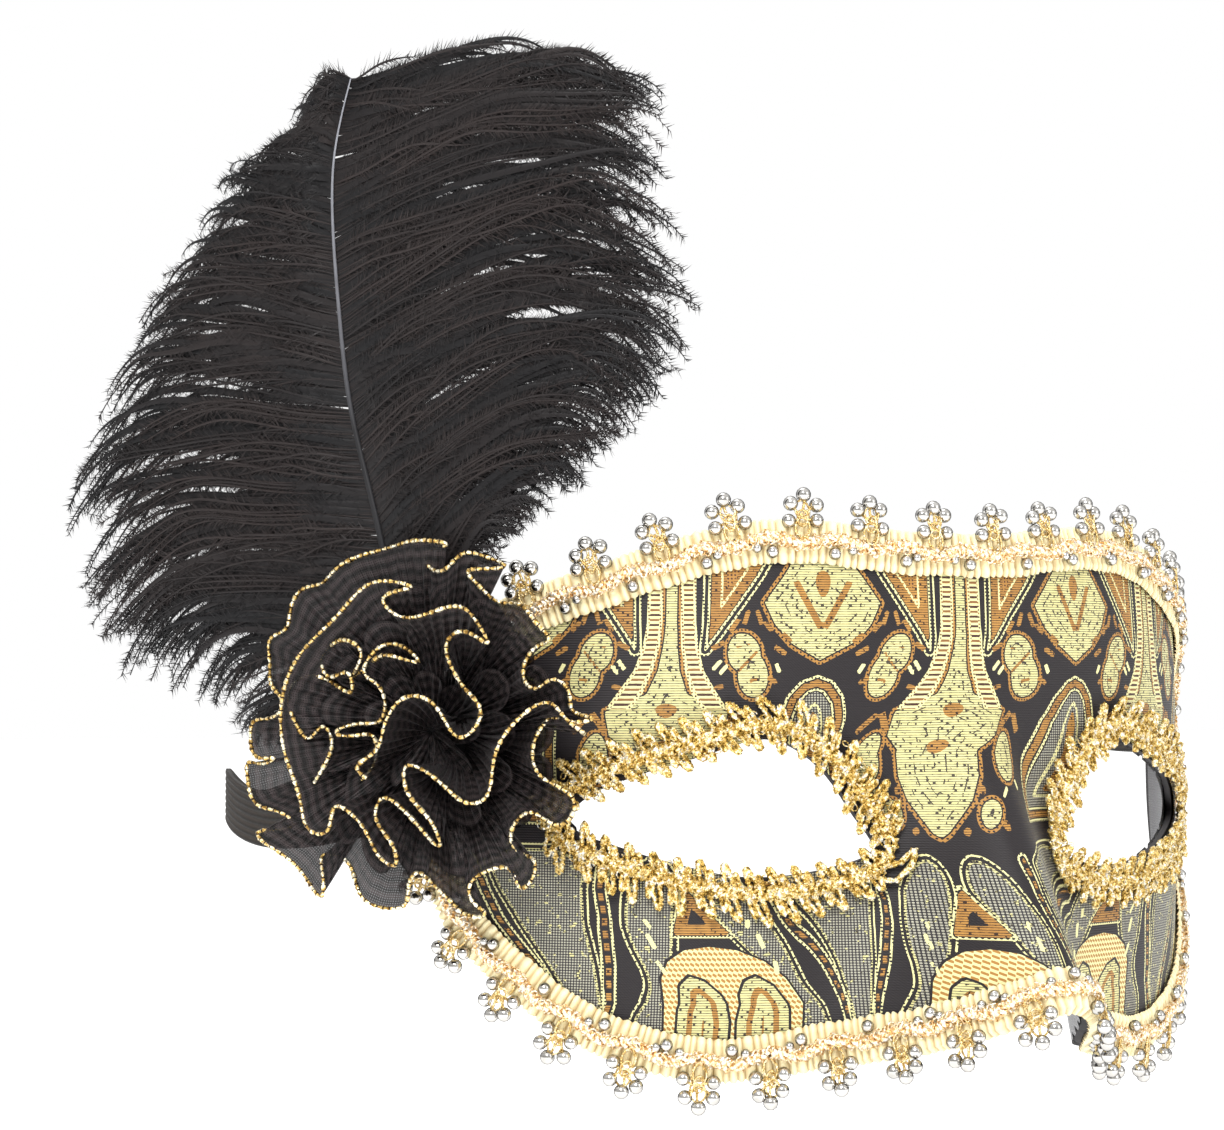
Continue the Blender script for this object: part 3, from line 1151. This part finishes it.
def ribbon(gather, cord, free, root, rows=14, bulge=2.0, closed=False):
    """A ribbon between its gathered root line and its free edge, and the gold cord on the edge.
    free and root are (n, 3) arrays of across, up and height in the side plane."""
    share = np.linspace(0, 1, rows)[None, :, None]
    away = free[:, None, :2] - ROSETTE_MIDDLE
    outward = away / (np.linalg.norm(away, axis=-1, keepdims=True) + 1e-6)
    body = root[:, None] * (1 - share) + free[:, None] * share
    body[..., :2] += outward * bulge * np.sin(pi * share) * 0.6
    body += pleats(body, closed)
    points = side(body[..., 0], body[..., 1], body[..., 2])
    edge_points = points[:, -1]
    length = np.concatenate([[0], np.cumsum(np.linalg.norm(np.diff(edge_points, axis=0), axis=1))])
    depth = np.linalg.norm(free - root, axis=1).mean()
    uv = np.stack(np.broadcast_arrays(length[:, None], share[..., 0] * depth), axis=-1)
    gather.add(points, grid_faces(len(free), rows, wrap_rows=closed), uv=uv)
    count = int(curve_length(edge_points, closed) / EDGE_CORD_STEP)
    path = evenly(np.vstack([edge_points, edge_points[:1]]) if closed else edge_points, count, closed)
    distance = np.concatenate([[0], np.cumsum(np.linalg.norm(np.diff(path, axis=0), axis=1))])
    uneven = distance + 0.5 * np.sin(distance * 0.9) + 0.2 * np.sin(distance * 2.3)
    radius = 0.33 + 0.1 * np.sin(2 * pi * uneven / EDGE_STITCH) + 0.04 * np.sin(distance * 0.37)
    add_tube(cord, path, radius, 6, closed)


def sewn_root(free, window, pull, closed):
    """The line that a ribbon is gathered on: its free edge evened out and drawn inwards."""
    flat = free[:, :2]
    mode = "wrap" if closed else "edge"
    kernel = np.ones(2 * window + 1) / (2 * window + 1)
    even = np.stack([
        np.convolve(np.pad(flat[:, k], window, mode=mode), kernel, "valid") for k in range(2)
    ], axis=1)
    return ROSETTE_MIDDLE + (even - ROSETTE_MIDDLE) * pull


def edge_ribbon(cloth, cord, line, height, low, window, pull, closed=False, count=1500, bulge=1.0):
    """A ribbon whose free edge follows a list of points. height gives the edge's height
    from its share of the way along and its place."""
    flat = smooth_curve(line, count, closed)
    lane = np.linspace(0, 1, count, endpoint=not closed)
    free = np.column_stack([flat, height(lane, flat)])
    root = sewn_root(free, window, pull, closed)
    gather_wave = 0.35 * np.sin(lane * 2 * pi * 90)[:, None]
    root = root + gather_wave * (root - ROSETTE_MIDDLE) / 10
    ribbon(cloth, cord, free, np.column_stack([root, np.full(count, low)]), rows=16, bulge=bulge,
           closed=closed)


def ring_ribbon(cloth, radius, core, low, high, folds, seed):
    """A plain gathered ring, from its core to its radius, that fills the rosette behind the ribbons."""
    draw = np.random.default_rng(seed)
    theta = np.linspace(0, 2 * pi, RING_POINTS, endpoint=False)
    depth = 1 + 0.4 * np.sin(3 * theta + draw.uniform(0, 6)) * np.cos(5 * theta)
    reach = radius + 2.4 * depth * np.cos(folds * theta)
    swing = theta + 0.09 * depth * np.sin(folds * theta + 0.5)
    free = np.stack([ROSETTE_MIDDLE[0] + reach * np.cos(swing), ROSETTE_MIDDLE[1] + reach * np.sin(swing),
                     high + 1.4 * np.sin(folds * theta)], axis=1)
    root = np.stack([ROSETTE_MIDDLE[0] + core * np.cos(theta), ROSETTE_MIDDLE[1] + core * np.sin(theta),
                     np.full(RING_POINTS, low)], axis=1)
    ribbon(cloth, Gather(), free, root, rows=12, bulge=1.0, closed=True)


ROSETTE_BACK = 8.0


def outer_height(lane, flat):
    across = (flat[:, 0] - ROSETTE_MIDDLE[0]) / 32
    return 11.2 + 2.6 * across + 0.9 * np.sin(lane * 2 * pi * 19)


def heart_height(lane, flat):
    away = np.hypot(*(flat - ROSETTE_MIDDLE).T)
    return 19.6 - 4.5 * np.clip(away / 20 - 0.5, 0, 1) + 0.8 * np.sin(lane * 2 * pi * 9)


def curl_height(lane, flat):
    return 14.6 + 0.9 * np.sin(lane * 2 * pi * 7)


# flat is each layer's organza before gathering, in metres: the length of its free edges
# end to end, and its mean width.
for name, line, height, low, window, pull, closed, flat in (
    ("outer", OUTER_EDGE, outer_height, ROSETTE_BACK, 60, 0.42, True, (0.333, 0.018)),
    ("middle", CURL_EDGE, curl_height, ROSETTE_BACK + 1.5, 110, 0.62, False, (0.795, 0.0103)),
    ("inner", HEART_EDGE, heart_height, ROSETTE_BACK + 1.0, 70, 0.55, False, (0.260, 0.0127)),
):
    cloth, cord = Gather(), Gather()
    edge_ribbon(cloth, cord, line, height, low, window, pull, closed)
    if name == "middle":
        ring_ribbon(cloth, 22.5, 12.0, ROSETTE_BACK, 11.0, 19, 5)
        ring_ribbon(cloth, 16.5, 7.0, ROSETTE_BACK, 13.5, 13, 9)
        ring_ribbon(cloth, 8.5, 0.6, ROSETTE_BACK, 12.5, 9, 3)
    organza = cloth.piece(f"organza_{name}", ORGANZA, slot="organza", replaces=(f"rosette_ruffle_{name}",))
    cord.piece(f"organza_edge_{name}", EDGE_GOLD, slot="gold_braid", replaces=(f"rosette_edge_{name}",))

# ---- Plume ---------------------------------------------------------------------------------------------

RACHIS = [(-7.5, -9), (-9.6, 5), (-12.5, 22), (-15, 33), (-17.2, 41.6), (-20.7, 55), (-23.1, 72),
          (-24.4, 87), (-24.2, 99.5), (-21, 113)]
# Barb tips on each side, from the quill's foot to its tip: (place along the rachis, across, up).
LEFT_TIPS = [(0.08, -40, -2), (0.16, -52, 9), (0.24, -66, 13), (0.34, -73, 21), (0.46, -78, 39.5),
             (0.58, -69, 58.5), (0.70, -60, 76.5), (0.82, -46.5, 93.5), (0.92, -36, 102), (1.0, -27, 109)]
RIGHT_TIPS = [(0.10, 3, 25), (0.18, 12, 36), (0.28, 22, 45), (0.38, 32, 52), (0.5, 39, 62), (0.62, 41, 73),
              (0.74, 34, 88), (0.84, 34, 99), (0.93, 33, 108), (1.0, 20, 112)]
rachis = smooth_curve(RACHIS, 400)
rachis_way = np.gradient(rachis, axis=0)
rachis_way /= np.linalg.norm(rachis_way, axis=1, keepdims=True)
BARB_POINTS = 26


def barb_set(hand, count, seed, layer):
    """Barb centre lines on one side as (count, points, 3) in the side plane."""
    draw = np.random.default_rng(seed)
    places, tips_u, tips_v = zip(*(LEFT_TIPS if hand < 0 else RIGHT_TIPS))
    # The upper layer leaves the rachis in even ridges, and the lower one fills in at random.
    even = np.linspace(0.06, 1.0, count) + draw.normal(0, 0.0006, count)
    place = np.clip(even, 0.06, 1.0) if layer else np.sort(draw.uniform(0.06, 1.0, count))
    # Barbs cling together in locks, so their tips share part of their wander.
    lock = np.floor(place * 34 + draw.uniform(-0.4, 0.4, count)).astype(int)
    lock_wander = draw.normal(0, 1, (60, 3))[lock % 60] * (0.5, 1.0)[layer]
    index = np.clip((place * 399).astype(int), 0, 399)
    foot, way = rachis[index], rachis_way[index]
    tip = np.stack([np.interp(place, places, tips_u), np.interp(place, places, tips_v)], axis=1)
    reach = np.where(draw.uniform(size=count) < 0.4, draw.uniform(0.35, 0.9, count),
                     draw.uniform(0.84, 1.04, count))
    tip = foot + (tip - foot) * reach[:, None]
    tip += lock_wander[:, :2] * [1.5, 2.2] + draw.normal(0, 0.8, (count, 2))
    across = np.stack([-way[:, 1], way[:, 0]], axis=1) * -hand
    if hand < 0:
        start_way = way * 0.3 + across * 0.95
    else:
        start_way = way * (0.55 - 0.45 * place[:, None]) + across * 0.86
    span = np.linalg.norm(tip - foot, axis=1)[:, None]
    droop = np.stack([hand * (0.55 + 0.1 * lock_wander[:, 0]),
                      -0.85 + 0.3 * place + 0.1 * lock_wander[:, 1]], axis=1)
    droop /= np.linalg.norm(droop, axis=1, keepdims=True)
    a = foot + start_way * span * 0.36
    b = tip - droop * span * (0.34 + 0.08 * lock_wander[:, 2:3])
    t = np.linspace(0, 1, BARB_POINTS)[None, :, None]
    line = ((1 - t) ** 3 * foot[:, None] + 3 * t * (1 - t) ** 2 * a[:, None]
            + 3 * t**2 * (1 - t) * b[:, None] + t**3 * tip[:, None])
    curl_phase = t * (1.2 + 0.5 * lock_wander[:, None, :1]) + lock_wander[:, None, 1:2]
    curl = 0.032 * span[:, :, None] * np.sin(2 * pi * curl_phase) * t
    line = line + curl * np.array([0.25, 1.0])
    loft = 0.9 * lock_wander[:, :1] + draw.normal(0, 0.5, (count, 1))
    lift = QUILL_HEIGHT + layer * 1.1 * t[..., 0] + loft * t[..., 0]
    lift = lift + 2.5 * np.sin(pi * t[..., 0]) - 2.2 * t[..., 0] ** 2
    tint = np.clip((0.15, 0.6)[layer] + 0.25 * lock_wander[:, 0] + draw.normal(0, 0.15, count), 0, 1)
    return np.concatenate([line, lift[..., None]], axis=-1), tint


def add_barbs(gather, lines, tint, seed, blade_width, ridge, spacing=0.5, hair=2.8):
    """Each barb as a tapering blade, with barbules as fine slivers on both sides."""
    draw = np.random.default_rng(seed)
    count, steps, _ = lines.shape
    points = side(lines[..., 0], lines[..., 1], lines[..., 2])
    way = np.gradient(points, axis=1)
    way /= np.linalg.norm(way, axis=-1, keepdims=True) + 1e-9
    across = np.cross(way, SIDE_NORMAL)
    width = (blade_width * np.interp(np.linspace(0, 1, steps), [0, 0.12, 0.6, 1],
                                     [0.6, 1.0, 0.85, 0.1]))[None, :, None]
    blade = np.stack([points - across * width, points + SIDE_NORMAL * ridge, points + across * width], axis=2)
    quads = grid_faces(steps, 3)
    all_quads = (quads[None] + (np.arange(count) * steps * 3)[:, None, None]).reshape(-1, 4)
    share = np.broadcast_to(np.linspace(0, 1, steps)[None, :, None], (count, steps, 3))
    gather.add(blade.reshape(-1, 3), all_quads, uv=np.stack([share.ravel(), np.zeros(share.size)], axis=1),
               tint=np.repeat(tint, steps * 3))
    lengths = np.linalg.norm(np.diff(points, axis=1), axis=-1).sum(1)
    for hand in (-1, 1):
        number = (lengths / spacing).astype(int)
        owner = np.repeat(np.arange(count), number)
        place = draw.uniform(0.03, 1.0, len(owner)) * (steps - 1.001)
        low = place.astype(int)
        share = (place - low)[:, None]
        foot = points[owner, low] * (1 - share) + points[owner, low + 1] * share
        along, aside = way[owner, low], across[owner, low]
        fullness = np.clip(place / steps * 6, 0.25, 1) * (1 - 0.45 * place / steps)
        long = (hair * draw.uniform(0.55, 1.25, len(owner)) * fullness)[:, None]
        spread = draw.uniform(0.35, 0.95, len(owner))[:, None]
        stray = draw.normal(0, 0.28, len(owner))[:, None]
        toward = along * (1 - spread * 0.5) + aside * hand * spread + SIDE_NORMAL * stray
        toward /= np.linalg.norm(toward, axis=1, keepdims=True)
        sliver = np.stack([foot - along * 0.12, foot + along * 0.12, foot + toward * long], axis=1)
        faces = np.arange(len(owner) * 3).reshape(-1, 3)
        gather.add(sliver.reshape(-1, 3), None, faces, tint=np.repeat(tint[owner], 3))


for hand, hand_name in ((-1, "left"), (1, "right")):
    for layer, layer_name, count, blade_width, ridge in ((0, "under", 480, 0.62, 0.1),
                                                         (1, "over", 215, 0.24, 0.32)):
        feather = Gather()
        lines, tint = barb_set(hand, count, 40 + 7 * hand + layer, layer)
        add_barbs(feather, lines, tint, 90 + hand + layer, blade_width, ridge)
        feather.piece(
            f"barbs_{hand_name}_{layer_name}", BARBS, body="plume", slot="plume",
            replaces=(f"plume_vane_{hand_name}",) if layer == 0 else (),
        )

stem = Gather()
stem_path = side(rachis[:, 0], rachis[:, 1], QUILL_HEIGHT + 0.3)
taper = np.interp(np.linspace(0, 1, len(stem_path)), [0, 0.15, 0.6, 1], [0.9, 0.7, 0.4, 0.14])
paleness = np.interp(np.linspace(0, 1, len(stem_path)), [0, 0.5, 0.75, 1], [0.0, 0.0, 0.5, 1.0])
add_tube(stem, stem_path, taper, 12, up=np.broadcast_to(SIDE_NORMAL, stem_path.shape), flat=0.8,
         tint=np.repeat(paleness, 12))
stem.piece("rachis", QUILL, body="plume", slot="quill", replaces=("plume_quill",))
winding = Gather()
turns = np.linspace(0, 1, 260)
spin = 2 * pi * 9 * turns
level = np.array([cos(SIDE_ANGLE), -sin(SIDE_ANGLE), 0.0])
smooth_base = stem_path[14] + (stem_path[54] - stem_path[14]) * turns[:, None]
coil = smooth_base + 1.45 * (np.cos(spin)[:, None] * SIDE_NORMAL + np.sin(spin)[:, None] * level)
add_tube(winding, coil, 0.4, 6)
winding.piece("binding_thread", THREAD, body="plume", slot="thread", replaces=("plume_binding",))

# ---- Strap ------------------------------------------------------------------------------------------------


def strap_end(k):
    """Points of the strap inside the mask, from its rivet back to where the loop starts."""
    depth = SHELL_THICKNESS + LINING_THICKNESS + 0.8 + STRAP_THICKNESS / 2
    height = STRAP_END_HEIGHTS[k]
    x = k * np.array([72.5, 76.0, 79.3])
    return lifted(x, np.full(3, height), -depth)


route = np.vstack([strap_end(-1), STRAP_ROUTE, strap_end(1)[::-1]])
band_path = smooth_curve(route, 700)
_, ups, outs = path_frames(band_path, up=np.broadcast_to([0.0, 0.0, 1.0], band_path.shape))
outward = np.where(((band_path - [0, 60, 10]) * outs).sum(1, keepdims=True) > 0, 1, -1) * outs
lanes = np.linspace(-0.5, 0.5, STRAP_RIBS * 6 + 1)
rib_rise = 0.16 * np.abs(np.sin(pi * (lanes + 0.5) * STRAP_RIBS)) ** 0.7
section = np.concatenate([
    np.stack([lanes * STRAP_WIDTH, STRAP_THICKNESS / 2 - 0.18 + rib_rise], axis=1),
    np.stack([lanes[::-1] * STRAP_WIDTH, -STRAP_THICKNESS / 2 + 0.18 - rib_rise], axis=1),
])
band = band_path[:, None] + ups[:, None] * section[None, :, :1] + outward[:, None] * section[None, :, 1:]
distance = np.concatenate([[0], np.cumsum(np.linalg.norm(np.diff(band_path, axis=0), axis=1))])
strap = mesh_piece(
    "ribbed_strap", band.reshape(-1, 3), grid_faces(len(band_path), len(section), False, True), ELASTIC,
    body=None, slot="elastic", replaces=("elastic_strap", "strap_end_left", "strap_end_right"),
    uv=np.stack(np.broadcast_arrays(distance[:, None], section[None, :, 0]), axis=-1).reshape(-1, 2),
)
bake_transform(strap)

# ---- CAD parts that stay ----------------------------------------------------------------------------------

KEPT = {
    "mask_shell": SHELL, "rosette_pad": FELT, "rosette_backing": FELT, "strap_patch_left": LINING,
    "strap_patch_right": LINING, "strap_rivet_left": STEEL, "strap_rivet_right": STEEL,
}
for node, material in KEPT.items():
    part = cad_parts[node]
    for slot_index in range(len(part.material_slots)):
        part.material_slots[slot_index].material = material

# ---- Camera, light and floor -------------------------------------------------------------------------------

CAMERA_PLACE = Vector((-0.33096, -0.47433, 0.02094))
CAMERA_AIM = Vector((-0.0400, 0.0540, 0.04337))
CAMERA_LENS = 98.0

camera_data = bpy.data.cameras.new("camera")
camera_data.lens = CAMERA_LENS
camera_data.sensor_width = 36.0
camera_data.clip_start = 0.01
camera = bpy.data.objects.new("camera", camera_data)
bpy.context.collection.objects.link(camera)
camera.location = CAMERA_PLACE
camera.rotation_euler = (CAMERA_AIM - camera.location).to_track_quat("-Z", "Y").to_euler()
bpy.context.scene.camera = camera


def area_light(name, place, target, size, power, colour=(1, 1, 1)):
    """A soft square lamp aimed at a point."""
    data = bpy.data.lights.new(name, "AREA")
    data.shape, data.size, data.energy, data.color = "SQUARE", size, power, colour
    lamp = bpy.data.objects.new(name, data)
    bpy.context.collection.objects.link(lamp)
    lamp.location = place
    lamp.rotation_euler = (Vector(target) - Vector(place)).to_track_quat("-Z", "Y").to_euler()


area_light("key", (-0.55, -0.6, 0.65), (-0.02, 0.05, 0.02), 0.35, 7)
area_light("fill", (0.55, -0.8, 0.35), (0.0, 0.05, 0.02), 0.6, 2)
area_light("top", (-0.1, 0.25, 0.95), (-0.05, 0.08, 0.03), 0.6, 3)
area_light("back", (0.2, 0.9, 0.5), (0, 0.1, 0.02), 0.8, 2)

# The studio: bright overhead, dimmer round the sides, and plain white behind the object.
world = bpy.data.worlds.new("studio")
world.use_nodes = True
sky = world.node_tree
backdrop = sky.nodes["Background"]
direction = sky.nodes.new("ShaderNodeTexCoord")
split_direction = sky.nodes.new("ShaderNodeSeparateXYZ")
sky.links.new(direction.outputs["Generated"], split_direction.inputs[0])
brightness = sky.nodes.new("ShaderNodeMapRange")
brightness.inputs["From Min"].default_value = -0.1
brightness.inputs["From Max"].default_value = 0.8
brightness.inputs["To Min"].default_value = 0.42
brightness.inputs["To Max"].default_value = 1.05
sky.links.new(split_direction.outputs[2], brightness.inputs["Value"])
rays = sky.nodes.new("ShaderNodeLightPath")
shown = sky.nodes.new("ShaderNodeMath")
shown.operation = "MAXIMUM"
sky.links.new(rays.outputs["Is Camera Ray"], shown.inputs[0])
sky.links.new(brightness.outputs[0], shown.inputs[1])
sky.links.new(shown.outputs[0], backdrop.inputs[1])
backdrop.inputs[0].default_value = (1, 1, 1, 1)
bpy.context.scene.world = world
bpy.context.scene.view_settings.view_transform = "Standard"

floor_finish = Finish("floor_white")
floor_cloud = floor_finish.noise(3.0, 2.0)
floor_finish.rough(0.9)
floor_finish.shader.inputs["Emission Color"].default_value = (1, 1, 1, 1)
floor_finish.shader.inputs["Emission Strength"].default_value = 0.4
floor_finish.colour(floor_finish.mix(floor_cloud, (0.93, 0.93, 0.93, 1), (0.96, 0.96, 0.96, 1)))
floor_mesh = bpy.data.meshes.new("floor")
# Low enough that the elastic clears the floor when it hangs down.
FLOOR_DROP = 0.032
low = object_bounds()[0][2] - FLOOR_DROP
reach = 6.0
corners = [(-reach, -reach, low), (reach, -reach, low), (reach, reach, low), (-reach, reach, low)]
floor_mesh.from_pydata(corners, [], [(0, 1, 2, 3)])
floor_mesh.materials.append(floor_finish.material)
floor = bpy.data.objects.new("floor", floor_mesh)
bpy.context.collection.objects.link(floor)
